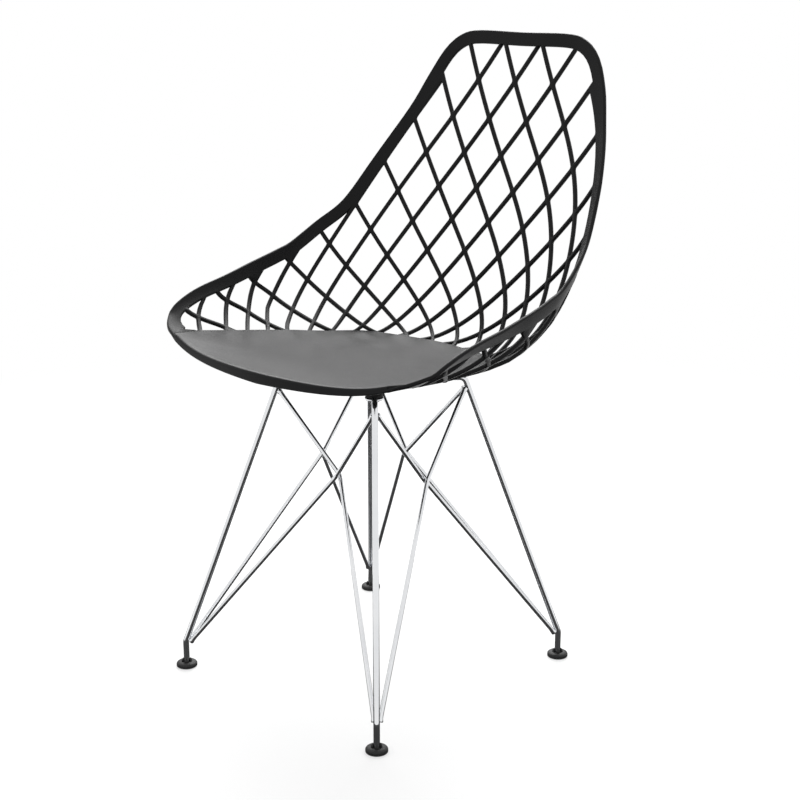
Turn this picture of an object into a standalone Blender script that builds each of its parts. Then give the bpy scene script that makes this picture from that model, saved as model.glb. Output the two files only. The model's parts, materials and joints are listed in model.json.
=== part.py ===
"""Dining chair: a one-piece moulded lattice shell on a bent-wire base.

Metres, +Z up. The chair faces -Y, so the sitter's left is +X. The origin is on the floor,
in the middle of the chair's overall box.
"""
import math

import bmesh
import bpy
import numpy as np
from mathutils import Matrix, Vector
from mathutils.bvhtree import BVHTree
from mathutils.geometry import delaunay_2d_cdt

# Clearance between pieces that touch
GAP = 0.0003

# Shell wall at its top row: distance behind the base's centre, height above the mounting
# plates, half width and distance from rib to rib
BACK_REACH = 0.3024
BACK_HEIGHT = 0.4147
WALL_HALF_WIDTH = 0.2832
RIB_PITCH = 0.0635
# Hoops that run round the back and sides, from the top row down to the seat. Each has its
# lattice row, its share of the four sizes above in turn, the squareness of its corners and
# its fall towards the front.
HOOPS = (
    (1.50, 1.0000, 1.0000, 1.0000, 1.0000, 7.28, 0.540),
    (0.00, 0.8549, 0.6311, 0.8121, 1.0166, 3.61, 0.544),
    (-1.25, 0.7520, 0.3673, 0.8177, 0.9698, 2.30, 0.457),
    (-2.50, 0.6277, 0.1508, 0.5801, 0.8260, 2.30, 0.247),
    (-3.75, 0.4265, 0.0530, 0.5827, 0.6061, 1.80, 0.015),
)
# Length in which the fall would turn back to level, once for each unit of slope
HOOP_FALL_RADIUS = 2.066
HOOP_SIDE_START = 0.0156
HOOP_SIDE_LENGTH = 0.25
# The sides draw in towards the front, in the rows below the arms
SIDE_TAPER = 0.372
SIDE_TAPER_ROW = -1.02
SIDE_TAPER_BLEND = 0.26
# The ribs of the arms spread towards the front: how far, and the ribs and rows it starts at
# and grows over
ARM_SPREAD = 0.010
ARM_SPREAD_RIB = 4.0
ARM_SPREAD_RIBS = 2.5
ARM_SPREAD_ROW = -1.5
ARM_SPREAD_ROWS = 0.7

# Edge of the lattice, in ribs from the centre line and in rows: from the back of the seat to
# its front corner, then along the rim to the middle of the top. The rim's places also have
# its lean from the wall towards the sitter, in degrees.
SEAT_EDGE = ((0, -3.74), (1.8, -3.66), (3.2, -3.3), (4.3, -2.95), (6, -2.25), (8.395, -1.22))
RIM_ROOT = (
    (8.55, -1.06, -23), (8.485, -0.86, -23), (8.23, -0.74, -23), (7.655, -0.69, -24),
    (6.785, -0.755, -20), (5.815, -0.83, -11), (5.3, -0.86, -6), (4.875, -0.86, -7),
    (4.255, -0.71, -9), (3.6, -0.53, -9), (3.02, -0.03, -7), (2.44, 0.535, 2), (2.14, 0.95, 7),
    (1.87, 1.25, 10), (1.56, 1.4, 11), (1.14, 1.445, 8), (0, 1.44, 4),
)
# Piece of a rib that the rim stands in for at the top corners: its count in its own family and
# in the other
RIB_LEFT_OUT = (3, -1)
EDGE_SPACING = 0.35
EDGE_LEAST_STEPS = 2
EDGE_TOLERANCE = 1e-4
EDGE_REACH = 1.0
CELL_STEPS = 2

# Shell
SHELL_THICKNESS = 0.005
RIB_WIDTH = 0.006
RIM_WIDTH = 0.017
SEAT_FRONT_Y = -0.199
SEAT_FRONT_HEIGHT = 0.0431
SEAT_FRONT_BEND = 1.82
SEAT_FRONT_RISE = 4.5
# Seat's front corner, measured from the front end of the lattice
CORNER_INSET = 0.008
CORNER_REACH = 0.0445
CORNER_RISE = 0.0048
# Lip that is turned down along the front
LIP_DROP = 0.0111
LIP_CORNER_DROP = 0.0056
LIP_FLARE = 0.0015
# Where the rim folds into the lip, past the seat's corner: its length in places of the
# outline, the share of it that the corner keeps, and how far its free edge swells out
FOLD_LENGTH = 2.2
FOLD_SHARE = 0.35
FOLD_SWELL = 0.005
FRONT_STEPS = 12
SEAT_DISH = 0.008
SEAT_CENTRE_Y = -0.02
SEAT_RINGS = (0.92, 0.65, 0.30)
SEAT_CURL = 3.0

# Wire base
FOOT_X = 0.1765
FOOT_Y = 0.1815
KINK_HEIGHT = 0.036
BEND_X = 0.085
BEND_Y = 0.085
BEND_HEIGHT = 0.3995
LEG_DIAMETER = 0.008
KINK_RADIUS = 0.012
BEND_RADIUS = 0.009
BRACE_DIAMETER = 0.006
BRACE_BEND_RADIUS = 0.015
BRACE_FOOT_HEIGHT = 0.0395
BRACE_TOP_DROP = 0.013
CROSSING_HEIGHT = 0.2825
FRONT_CROSSING_Y = 0.0645
SIDE_CROSSING_X = 0.093

# Seat mounts
MOUNT_X = 0.066
MOUNT_Y = 0.066
PLATE_RADIUS = 0.012
PLATE_THICKNESS = 0.003
PAD_THICKNESS = 0.0057
BOSS_WALL = 0.0065
INSERT_WALL = 0.0009
INSERT_LENGTH = 0.0065
SCREW_RADIUS = 0.003
SCREW_HEAD_RADIUS = 0.0055
SCREW_HEAD_HEIGHT = 0.0038
SCREW_HEAD_EDGE = 0.0015
SOCKET_RADIUS = 0.0023
SOCKET_DEPTH = 0.0022
WASHER_RADIUS = 0.0072
WASHER_THICKNESS = 0.0012

# Glides
GLIDE_RADIUS = 0.014
GLIDE_CHAMFER = 0.0015
GLIDE_EDGE_HEIGHT = 0.0035
GLIDE_DOME_HEIGHT = 0.007
GLIDE_FLOOR = 0.003
PRONG_WALL = 0.003
PRONG_LENGTH = 0.0045
PRONG_SLOT = 0.0066

# Facets, and the samples that curves are measured with
BEND_STEPS = 5
DOME_STEPS = 3
ROUND_STEPS = 20
SMALL_STEPS = 16
SOCKET_SIDES = 6
HOOP_SAMPLES = 90
SIDE_SAMPLES = 12
SLOPE_STEP = 0.02
LEG_RESOLUTION = 3
BRACE_RESOLUTION = 2
MERGE_DISTANCE = 1e-5

CORNERS = {
    "front_right": (-1, -1),
    "front_left": (1, -1),
    "back_left": (1, 1),
    "back_right": (-1, 1),
}
SIDES = {
    "front": ("front_right", "front_left"),
    "left": ("front_left", "back_left"),
    "back": ("back_left", "back_right"),
    "right": ("back_right", "front_right"),
}

# Heights of the mounting stack, measured from the top of the plates
PLATE_TOP = BEND_HEIGHT + PLATE_THICKNESS / 2
BOSS_BOTTOM = GAP + PAD_THICKNESS + GAP
INSERT_BOTTOM = BOSS_BOTTOM + GAP
INSERT_TOP = INSERT_BOTTOM + INSERT_LENGTH
WASHER_TOP = -PLATE_THICKNESS - GAP
HEAD_TOP = WASHER_TOP - WASHER_THICKNESS - GAP
HOLE_RADIUS = SCREW_RADIUS + GAP
INSERT_RADIUS = HOLE_RADIUS + INSERT_WALL
BOSS_RADIUS = INSERT_RADIUS + GAP + BOSS_WALL


# Scene helpers

def clear_scene():
    for item in list(bpy.data.objects):
        bpy.data.objects.remove(item, do_unlink=True)


def new_collection(name):
    collection = bpy.data.collections.new(name)
    bpy.context.scene.collection.children.link(collection)
    return collection


def new_material(name, colour, roughness, metallic=0.0):
    surface = bpy.data.materials.new(name)
    surface.use_nodes = True
    shader = surface.node_tree.nodes["Principled BSDF"]
    shader.inputs["Base Color"].default_value = (*colour, 1.0)
    shader.inputs["Roughness"].default_value = roughness
    shader.inputs["Metallic"].default_value = metallic
    return surface


def add_part(name, data, surface, parent, location=(0.0, 0.0, 0.0)):
    """Put a sub-part in the chair's collection, under its root."""
    item = bpy.data.objects.new(name, data)
    parent.users_collection[0].objects.link(item)
    item.parent = parent
    item.location = location
    data.materials.append(surface)
    return item


def add_cutter(name, mesh, collection, parent):
    item = bpy.data.objects.new(name, mesh)
    collection.objects.link(item)
    item.parent = parent
    item.hide_render = True
    item.display_type = "WIRE"
    return item


def add_boolean(item, operation, cutter):
    modifier = item.modifiers.new(operation.capitalize(), "BOOLEAN")
    modifier.operation = operation
    modifier.object = cutter
    modifier.solver = "EXACT"


def mesh_of_cylinders(name, places, radius, segments=ROUND_STEPS):
    """One mesh of upright cylinders, each placed by x, y, bottom and top."""
    shape = bmesh.new()
    for x, y, bottom, top in places:
        matrix = Matrix.Translation((x, y, (bottom + top) / 2))
        bmesh.ops.create_cone(shape, cap_ends=True, segments=segments, radius1=radius,
                              radius2=radius, depth=top - bottom, matrix=matrix)
    return to_mesh(name, shape)


def to_mesh(name, shape):
    mesh = bpy.data.meshes.new(name)
    shape.to_mesh(mesh)
    shape.free()
    return mesh


def turned_mesh(name, profile, closed):
    """Profile of radius and height pairs, for a Screw modifier to turn about Z."""
    points = [(radius, 0.0, height) for radius, height in profile]
    edges = [(index, index + 1) for index in range(len(points) - 1)]
    if closed:
        edges.append((len(points) - 1, 0))
    mesh = bpy.data.meshes.new(name)
    mesh.from_pydata(points, edges, [])
    return mesh


def add_turned(name, profile, surface, parent, location, steps=ROUND_STEPS, closed=False):
    item = add_part(name, turned_mesh(name, profile, closed), surface, parent, location)
    screw = item.modifiers.new("Turn", "SCREW")
    screw.axis = "Z"
    screw.steps = steps
    screw.render_steps = steps
    screw.use_merge_vertices = True
    screw.merge_threshold = MERGE_DISTANCE
    return item


def ring_profile(outer, inner, top, bottom):
    return [(outer, top), (outer, bottom), (inner, bottom), (inner, top)]


# Lattice surface

def hoop_curves():
    """How each measure of the hoops changes from row to row."""
    rows, *shares, squareness, fall = (np.array(column) for column in zip(*HOOPS))
    sizes = (BACK_REACH, BACK_HEIGHT, WALL_HALF_WIDTH, RIB_PITCH)
    measures = [share * size for share, size in zip(shares, sizes)] + [squareness, fall]
    return [np.polyfit(rows, values, len(rows) - 1) for values in measures]


HOOP_CURVES = hoop_curves()
HOOP_TURN = np.linspace(0, math.pi / 2, HOOP_SAMPLES)
HOOP_STRAIGHT = np.linspace(0, HOOP_SIDE_LENGTH, SIDE_SAMPLES)[1:]


def running_length(points):
    steps = np.linalg.norm(np.diff(points, axis=0), axis=1)
    return np.concatenate([[0.0], np.cumsum(steps)])


def hoop(row):
    """Points along one hoop from the back's middle to the front, and its rib pitch."""
    back, height, half_width, pitch, squareness, fall = (np.polyval(c, row) for c in HOOP_CURVES)
    taper = SIDE_TAPER / (1 + math.exp((row - SIDE_TAPER_ROW) / SIDE_TAPER_BLEND))
    rounded = half_width * np.sin(HOOP_TURN) ** (2 / squareness)
    x = np.concatenate([rounded, half_width - taper * HOOP_STRAIGHT])
    rounded = (back - HOOP_SIDE_START) * np.abs(np.cos(HOOP_TURN)) ** (2 / squareness)
    y = HOOP_SIDE_START + np.concatenate([rounded, -HOOP_STRAIGHT])
    forward = back - y
    z = height - fall * forward + forward ** 2 / HOOP_FALL_RADIUS
    return np.stack([x, y, z], axis=1), pitch


def ease(share):
    share = min(max(share, 0.0), 1.0)
    return share * share * (3 - 2 * share)


def wall(across, row):
    """Point of the wall at a number of ribs across and of rows up."""
    points, pitch = hoop(row)
    run = running_length(points)
    ribs = abs(across)
    forward = ease((ribs - ARM_SPREAD_RIB) / ARM_SPREAD_RIBS)
    upward = ease((row - ARM_SPREAD_ROW) / ARM_SPREAD_ROWS)
    place = ribs * pitch + ARM_SPREAD * forward * upward
    x, y, z = (float(np.interp(place, run, points[:, axis])) for axis in range(3))
    return Vector((math.copysign(x, across), y, z))


def wall_slopes(across, row):
    """How the wall runs for each rib across and for each row up."""
    over = wall(across + SLOPE_STEP, row) - wall(across - SLOPE_STEP, row)
    up = wall(across, row + SLOPE_STEP) - wall(across, row - SLOPE_STEP)
    return over / (2 * SLOPE_STEP), up / (2 * SLOPE_STEP)


def lattice_place(first, second):
    """Ribs across and rows up, from the counts along the two families of ribs."""
    return (first - second) / 2, (first + second) / 2


def rib_insets(across, row):
    """Half a rib's width, counted along the first and the second family of ribs.

    The ribs narrow with the pitch below the last hoop but one, where the wall turns under.
    """
    over, up = wall_slopes(across, min(max(row, HOOPS[-2][0]), HOOPS[0][0]))
    first = (up + over) / 2
    second = (up - over) / 2
    half_rib = RIB_WIDTH / 2 / first.cross(second).length
    return half_rib * second.length, half_rib * first.length


def opening_corners(first, second):
    """Corners of the opening between ribs, counted along the two families."""
    corners = []
    for u, v in ((0, 0), (1, 0), (1, 1), (0, 1)):
        inset = list(rib_insets(*lattice_place(first + u, second + v)))
        if (first + u, second) == RIB_LEFT_OUT:
            inset[0] = 0
        if (second + v, first) == RIB_LEFT_OUT:
            inset[1] = 0
        corners.append((first + u + (1 - 2 * u) * inset[0], second + v + (1 - 2 * v) * inset[1]))
    return np.array(corners)


def outline_terms(points, index):
    """Terms of the smooth curve from one point of a closed outline to the next."""
    before, start, end, after = (np.array(points[(index + k) % len(points)]) for k in (-1, 0, 1, 2))
    bend = 2 * before - 5 * start + 4 * end - after
    twist = 3 * (start - end) - before + after
    return start, (end - before) / 2, bend / 2, twist / 2


def outline_point(points, station):
    start, lean, bend, twist = outline_terms(points, int(station))
    share = station % 1
    return start + (lean + (bend + twist * share) * share) * share


def smooth_outline(points):
    """Closed curve through points, as samples with the station of each, counted in points."""
    stations = []
    for index in range(len(points)):
        start, lean, bend, twist = outline_terms(points, index)
        length = np.linalg.norm(lean + bend + twist)
        steps = max(EDGE_LEAST_STEPS, round(length / EDGE_SPACING))
        stations += [index + step / steps for step in range(steps)]
    return np.array([outline_point(points, station) for station in stations]), np.array(stations)


def outline_slope(points, station):
    _, lean, bend, twist = outline_terms(points, int(station))
    share = station % 1
    return lean + (2 * bend + 3 * twist * share) * share


def is_inside(point, outline):
    """Whether a point lies in a closed outline: an odd number of edges pass above it."""
    ahead = np.roll(outline, -1, axis=0)
    spans = (outline[:, 0] > point[0]) != (ahead[:, 0] > point[0])
    start = outline[spans]
    slope = (ahead[spans, 1] - start[:, 1]) / (ahead[spans, 0] - start[:, 0])
    return np.sum(start[:, 1] + slope * (point[0] - start[:, 0]) > point[1]) % 2 == 1


def station_on_outline(point, outline, stations):
    """Station of a point that lies on the outline, or None."""
    ahead = np.roll(outline, -1, axis=0) - outline
    share = np.sum((point - outline) * ahead, axis=1) / np.sum(ahead ** 2, axis=1)
    share = np.clip(share, 0, 1)
    distance = np.linalg.norm(outline + ahead * share[:, None] - point, axis=1)
    nearest = int(np.argmin(distance))
    if distance[nearest] > EDGE_TOLERANCE:
        return None
    following = stations[nearest + 1] if nearest + 1 < len(stations) else math.ceil(stations[-1])
    return stations[nearest] + share[nearest] * (following - stations[nearest])


def closed_loop(points, all_points, all_edges):
    start = len(all_points)
    all_points.extend(Vector(point) for point in points)
    all_edges.extend((start + k, start + (k + 1) % len(points)) for k in range(len(points)))


def lattice_sheet(outline):
    """Flat sheet of ribs, in ribs across and rows up: its points and triangles."""
    points = []
    edges = []
    closed_loop(outline, points, edges)
    openings = {}
    counts = outline @ np.array(((1, -1), (1, 1)))
    reach = range(math.floor(counts.min()), math.ceil(counts.max()))
    for first in reach:
        for second in reach:
            middle = lattice_place(first + 0.5, second + 0.5)
            from_edge = np.min(np.linalg.norm(outline - middle, axis=1))
            if from_edge > EDGE_REACH and not is_inside(middle, outline):
                continue
            corners = opening_corners(first, second)
            openings[first, second] = corners
            loop = []
            for start, end in zip(corners, np.roll(corners, -1, axis=0)):
                loop += [start + (end - start) * step / CELL_STEPS for step in range(CELL_STEPS)]
            closed_loop([lattice_place(*place) for place in loop], points, edges)
    flat, _, triangles, *_ = delaunay_2d_cdt(points, edges, [], 0, EDGE_TOLERANCE)
    kept = []
    for triangle in triangles:
        middle = sum((flat[k] for k in triangle), Vector((0, 0))) / 3
        place = np.array((middle.y + middle.x, middle.y - middle.x))
        corners = openings.get(tuple(int(c) for c in np.floor(place)))
        in_opening = corners is not None and is_inside(place, corners)
        if is_inside(middle, outline) and not in_opening:
            kept.append(triangle)
    return flat, kept


# Shell

def rim_point(points, station):
    """Free edge of the rim: square out from the lattice's edge, with the rim's lean."""
    place = outline_point(points, station)
    tangent = outline_slope(points, station)
    over, up = wall_slopes(*place)
    along = over * tangent[0] + up * tangent[1]
    outward = np.array((tangent[1], -tangent[0]))
    skew = (over * outward[0] + up * outward[1]).dot(along) / along.length_squared
    outward = outward - skew * tangent
    places = np.arange(len(RIM_ROOT)) + len(SEAT_EDGE)
    _, _, leans = zip(*RIM_ROOT)
    tilt = math.radians(np.interp(station, places, leans))
    stretch = RIM_WIDTH * math.cos(tilt) / (over * outward[0] + up * outward[1]).length
    inward = over.cross(up).normalized()
    return wall(*(place + outward * stretch)) + inward * RIM_WIDTH * math.sin(tilt)


def front_edge(corner, share):
    """Points of the seat's front edge and of the lip below it, towards one corner of the seat."""
    reach = corner.y - SEAT_FRONT_Y
    y = SEAT_FRONT_Y + reach * share ** SEAT_FRONT_BEND
    z = SEAT_FRONT_HEIGHT + (corner.z - SEAT_FRONT_HEIGHT) * share ** SEAT_FRONT_RISE
    point = Vector((corner.x * share, y, z))
    slope = SEAT_FRONT_BEND * reach / corner.x * share ** (SEAT_FRONT_BEND - 1)
    outward = Vector((slope, -1.0, 0.0)).normalized()
    drop = LIP_DROP + (LIP_CORNER_DROP - LIP_DROP) * share
    return point, point + outward * LIP_FLARE - Vector((0, 0, drop))


def mirrored(point, side):
    return Vector((math.copysign(point.x, side), point.y, point.z))


def bridge(shape, first, second):
    """Faces between two closed loops of the same length."""
    for k in range(len(first)):
        after = (k + 1) % len(first)
        shape.faces.new((first[k], first[after], second[after], second[k]))


def seat_panel(shape, edge):
    """Dished seat inside a closed loop of edge points."""
    rear = max(edge, key=lambda point: point.co.y).co
    depth = rear.y - SEAT_FRONT_Y
    ring = edge
    for scale in SEAT_RINGS + (0.0,):
        inner = []
        for point in edge:
            y = SEAT_CENTRE_Y + (point.co.y - SEAT_CENTRE_Y) * scale
            slope = rear.z + (SEAT_FRONT_HEIGHT - rear.z) * (rear.y - y) / depth
            curl = scale ** SEAT_CURL
            z = point.co.z * curl + (slope - SEAT_DISH) * (1 - curl)
            inner.append(shape.verts.new((point.co.x * scale, y, z)))
        bridge(shape, ring, inner)
        ring = inner


def shell_surface():
    """Open surface of the shell, on the sitter's side."""
    half = SEAT_EDGE + tuple((across, row) for across, row, _ in RIM_ROOT)
    points = half + tuple((-across, row) for across, row in reversed(half[1:-1]))
    outline, stations = smooth_outline(points)
    flat, triangles = lattice_sheet(outline)
    shape = bmesh.new()
    made = {}
    edge = []
    for k, place in enumerate(flat):
        station = station_on_outline(np.array(place), outline, stations)
        if station is not None:
            made[k] = shape.verts.new(wall(*place))
            edge.append((station % len(points), made[k]))
    for triangle in triangles:
        for k in triangle:
            if k not in made:
                made[k] = shape.verts.new(wall(*flat[k]))
        shape.faces.new([made[k] for k in triangle])
    edge.sort(key=lambda item: item[0])

    seat_end = len(SEAT_EDGE) - 1
    seat_right = [vertex for station, vertex in edge if station <= seat_end]
    seat_left = [vertex for station, vertex in edge if station >= len(points) - seat_end]
    band = [item for item in edge if seat_end <= item[0] <= len(points) - seat_end]

    corner = seat_right[-1].co + Vector((-CORNER_INSET, -CORNER_REACH, CORNER_RISE))
    front = []
    lip = []
    for step in range(2 * FRONT_STEPS + 1):
        side = 1 - step / FRONT_STEPS
        point, below = front_edge(corner, abs(side))
        front.append(shape.verts.new(mirrored(point, side)))
        lip.append(shape.verts.new(mirrored(below, side)))

    rim_start = seat_end + FOLD_LENGTH
    rim_end = rim_point(points, rim_start)
    chord = rim_end - lip[0].co
    swell = Vector((chord.y, -chord.x, 0)).normalized() * FOLD_SWELL
    free = []
    for station, vertex in band:
        from_front = min(station, len(points) - station)
        share = FOLD_SHARE + (1 - FOLD_SHARE) * (from_front - seat_end) / FOLD_LENGTH
        fold = lip[0].co + chord * share + swell * math.sin(math.pi * share)
        point = rim_point(points, from_front) if from_front > rim_start else fold
        free.append(shape.verts.new(mirrored(point, vertex.co.x)))

    bridge(shape, [vertex for _, vertex in band] + front[::-1], free + lip[::-1])
    seat_panel(shape, seat_right + front + seat_left)
    bmesh.ops.remove_doubles(shape, verts=shape.verts, dist=MERGE_DISTANCE)
    bmesh.ops.recalc_face_normals(shape, faces=shape.faces)
    return shape


def build_shell(surface, parent, cutters):
    shape = shell_surface()
    tree = BVHTree.FromBMesh(shape)
    mounts = [(x * MOUNT_X, y * MOUNT_Y) for x, y in CORNERS.values()]
    bosses = []
    for x, y in mounts:
        hit, normal, *_ = tree.ray_cast(Vector((x, y, BACK_HEIGHT)), Vector((0, 0, -1)))
        bosses.append((x, y, BOSS_BOTTOM, hit.z))
    if normal.z < 0:
        bmesh.ops.reverse_faces(shape, faces=shape.faces)
    shell = add_part("shell", to_mesh("shell", shape), surface, parent, (0, 0, PLATE_TOP))
    wall_modifier = shell.modifiers.new("Wall", "SOLIDIFY")
    wall_modifier.thickness = SHELL_THICKNESS
    wall_modifier.offset = 0
    wall_modifier.use_even_offset = True
    add_boolean(shell, "UNION", add_cutter(
        "boss_blanks", mesh_of_cylinders("boss_blanks", bosses, BOSS_RADIUS), cutters, shell))
    holes = [(x, y, BOSS_BOTTOM - GAP, INSERT_TOP + GAP) for x, y in mounts]
    add_boolean(shell, "DIFFERENCE", add_cutter(
        "insert_holes", mesh_of_cylinders("insert_holes", holes, INSERT_RADIUS + GAP), cutters, shell))
    return shell


# Wire base

def rounded_path(corners, radii):
    """Points along a bent wire: its ends, and an arc at each bend."""
    path = [corners[0]]
    for before, bend, after, radius in zip(corners, corners[1:], corners[2:], radii):
        back = (before - bend).normalized()
        ahead = (after - bend).normalized()
        half = back.angle(ahead) / 2
        centre = bend + (back + ahead).normalized() * radius / math.sin(half)
        start = bend + back * radius / math.tan(half) - centre
        end = bend + ahead * radius / math.tan(half) - centre
        for step in range(BEND_STEPS + 1):
            spoke = start.lerp(end, step / BEND_STEPS)
            path.append(centre + spoke.normalized() * radius)
    return path + [corners[-1]]


def add_wire(name, path, diameter, resolution, surface, parent):
    curve = bpy.data.curves.new(name, "CURVE")
    curve.dimensions = "3D"
    curve.bevel_depth = diameter / 2
    curve.bevel_resolution = resolution
    curve.use_fill_caps = True
    spline = curve.splines.new("POLY")
    spline.points.add(len(path) - 1)
    for target, point in zip(spline.points, path):
        target.co = (*point, 1.0)
    return add_part(name, curve, surface, parent)


def leg_corners(sign):
    """Foot, kink, top bend and inner end of a leg's axis."""
    foot = Vector((sign[0] * FOOT_X, sign[1] * FOOT_Y, GLIDE_FLOOR + GAP))
    kink = Vector((foot.x, foot.y, KINK_HEIGHT))
    bend = Vector((sign[0] * BEND_X, sign[1] * BEND_Y, BEND_HEIGHT))
    mount = Vector((sign[0] * MOUNT_X, sign[1] * MOUNT_Y, BEND_HEIGHT))
    end = mount + (bend - mount).normalized() * (PLATE_RADIUS + GAP)
    return [foot, kink, bend, end]


def build_leg(name, sign, surface, parent):
    path = rounded_path(leg_corners(sign), (KINK_RADIUS, BEND_RADIUS))
    add_wire(f"leg_{name}", path, LEG_DIAMETER, LEG_RESOLUTION, surface, parent)


def beside_leg(sign, height, target):
    """End of a brace's axis, set against a leg at a height and aimed at a target."""
    _, kink, bend, _ = leg_corners(sign)
    axis = (bend - kink).normalized()
    on_leg = kink + axis * (height - kink.z) / axis.z
    aim = (target - on_leg).normalized()
    outward = (aim - axis * aim.dot(axis)).normalized()
    rim = BRACE_DIAMETER / 2 * math.sqrt(1 - aim.dot(outward) ** 2)
    return on_leg + outward * (LEG_DIAMETER / 2 + GAP + rim)


def brace_corners(foot_sign, top_sign, side_normal, crossing):
    foot = beside_leg(foot_sign, BRACE_FOOT_HEIGHT, crossing)
    top = beside_leg(top_sign, BEND_HEIGHT - BRACE_TOP_DROP, crossing)
    slants = [(crossing - foot), (top - crossing)]
    spread = max(math.hypot(slant.dot(side_normal), slant.z) / slant.z for slant in slants)
    return foot, top, spread * (BRACE_DIAMETER + GAP) / 2


def build_braces(side, surface, parent):
    """Two braces of one side of the base, lapped where they cross."""
    signs = [CORNERS[name] for name in SIDES[side]]
    normal = Vector(((signs[0][0] + signs[1][0]) / 2, (signs[0][1] + signs[1][1]) / 2, 0))
    middle = Vector((normal.x * SIDE_CROSSING_X, normal.y * FRONT_CROSSING_Y, CROSSING_HEIGHT))
    for lap, ends, label in ((1, signs, "outer"), (-1, signs[::-1], "inner")):
        foot, top, offset = brace_corners(*ends, normal, middle)
        path = rounded_path([foot, middle + normal * lap * offset, top], (BRACE_BEND_RADIUS,))
        name = f"brace_{side}_{label}"
        add_wire(name, path, BRACE_DIAMETER, BRACE_RESOLUTION, surface, parent)


def build_glide(name, sign, surface, parent, cutters):
    """Domed glide that grips the leg's stem with four prongs and can turn on it."""
    bore = LEG_DIAMETER / 2 + GAP
    collar = bore + PRONG_WALL
    prong_top = GLIDE_DOME_HEIGHT + PRONG_LENGTH
    profile = [(0, GLIDE_FLOOR), (bore, GLIDE_FLOOR), (bore, prong_top), (collar, prong_top)]
    for step in range(DOME_STEPS + 1):
        turn = step / DOME_STEPS * math.pi / 2
        profile.append((collar + (GLIDE_RADIUS - collar) * math.sin(turn),
                        GLIDE_EDGE_HEIGHT + (GLIDE_DOME_HEIGHT - GLIDE_EDGE_HEIGHT) * math.cos(turn)))
    profile += [(GLIDE_RADIUS, GLIDE_CHAMFER), (GLIDE_RADIUS - GLIDE_CHAMFER, 0), (0, 0)]
    place = (sign[0] * FOOT_X, sign[1] * FOOT_Y, 0)
    glide = add_turned(f"glide_{name}", profile, surface, parent, place)
    length = 2 * (collar + GAP)
    depth = PRONG_LENGTH + GAP
    lift = Matrix.Translation((0, 0, GLIDE_DOME_HEIGHT + depth / 2))
    for size in ((length, PRONG_SLOT), (PRONG_SLOT, length)):
        slot = bmesh.new()
        bmesh.ops.create_cube(slot, size=1, matrix=lift @ Matrix.Diagonal((*size, depth, 1)))
        add_boolean(glide, "DIFFERENCE", add_cutter(
            "prong_slot", to_mesh("prong_slot", slot), cutters, glide))


# Seat mounts

def build_plate(name, sign, surface, parent):
    """Round plate at the end of a leg, with the screw's hole."""
    curve = bpy.data.curves.new(f"mount_plate_{name}", "CURVE")
    curve.dimensions = "2D"
    curve.fill_mode = "BOTH"
    curve.extrude = PLATE_THICKNESS / 2
    for radius in (PLATE_RADIUS, HOLE_RADIUS):
        spline = curve.splines.new("POLY")
        spline.use_cyclic_u = True
        spline.points.add(ROUND_STEPS - 1)
        for step, point in enumerate(spline.points):
            turn = step / ROUND_STEPS * 2 * math.pi
            point.co = (radius * math.cos(turn), radius * math.sin(turn), 0, 1)
    place = (sign[0] * MOUNT_X, sign[1] * MOUNT_Y, BEND_HEIGHT)
    add_part(f"mount_plate_{name}", curve, surface, parent, place)


def build_screw(name, place, surface, parent, cutters):
    """Round-headed screw driven up from below, with a hexagon socket."""
    bottom = HEAD_TOP - SCREW_HEAD_HEIGHT
    edge = HEAD_TOP - SCREW_HEAD_EDGE
    profile = [(0, INSERT_TOP), (SCREW_RADIUS, INSERT_TOP), (SCREW_RADIUS, HEAD_TOP),
               (SCREW_HEAD_RADIUS, HEAD_TOP)]
    for step in range(DOME_STEPS + 1):
        turn = step / DOME_STEPS * math.pi / 2
        profile.append((SCREW_HEAD_RADIUS * math.cos(turn), edge + (bottom - edge) * math.sin(turn)))
    profile[-1] = (0, bottom)
    screw = add_turned(f"screw_{name}", profile, surface, parent, place, SMALL_STEPS)
    socket_place = (0, 0, bottom - GAP, bottom + SOCKET_DEPTH)
    socket = mesh_of_cylinders("socket", [socket_place], SOCKET_RADIUS, SOCKET_SIDES)
    add_boolean(screw, "DIFFERENCE", add_cutter("socket", socket, cutters, screw))


def build_mount(name, sign, looks, parent, cutters):
    build_plate(name, sign, looks["chrome"], parent)
    place = (sign[0] * MOUNT_X, sign[1] * MOUNT_Y, PLATE_TOP)
    pad = ring_profile(BOSS_RADIUS, HOLE_RADIUS, GAP + PAD_THICKNESS, GAP)
    add_turned(f"rubber_pad_{name}", pad, looks["rubber"], parent, place, closed=True)
    washer = ring_profile(WASHER_RADIUS, HOLE_RADIUS, WASHER_TOP, WASHER_TOP - WASHER_THICKNESS)
    add_turned(f"washer_{name}", washer, looks["steel"], parent, place, SMALL_STEPS, closed=True)
    insert = ring_profile(INSERT_RADIUS, HOLE_RADIUS, INSERT_TOP, INSERT_BOTTOM)
    add_turned(f"threaded_insert_{name}", insert, looks["brass"], parent, place, SMALL_STEPS, closed=True)
    build_screw(name, place, looks["screw"], parent, cutters)


def centre_on_floor(root, shell):
    """Move the chair so that its overall box stands over the origin."""
    bpy.context.view_layer.update()
    solid = shell.evaluated_get(bpy.context.evaluated_depsgraph_get())
    depth = [corner[1] for corner in solid.bound_box]
    root.location.y = -(min(depth) + max(depth)) / 2


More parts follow.
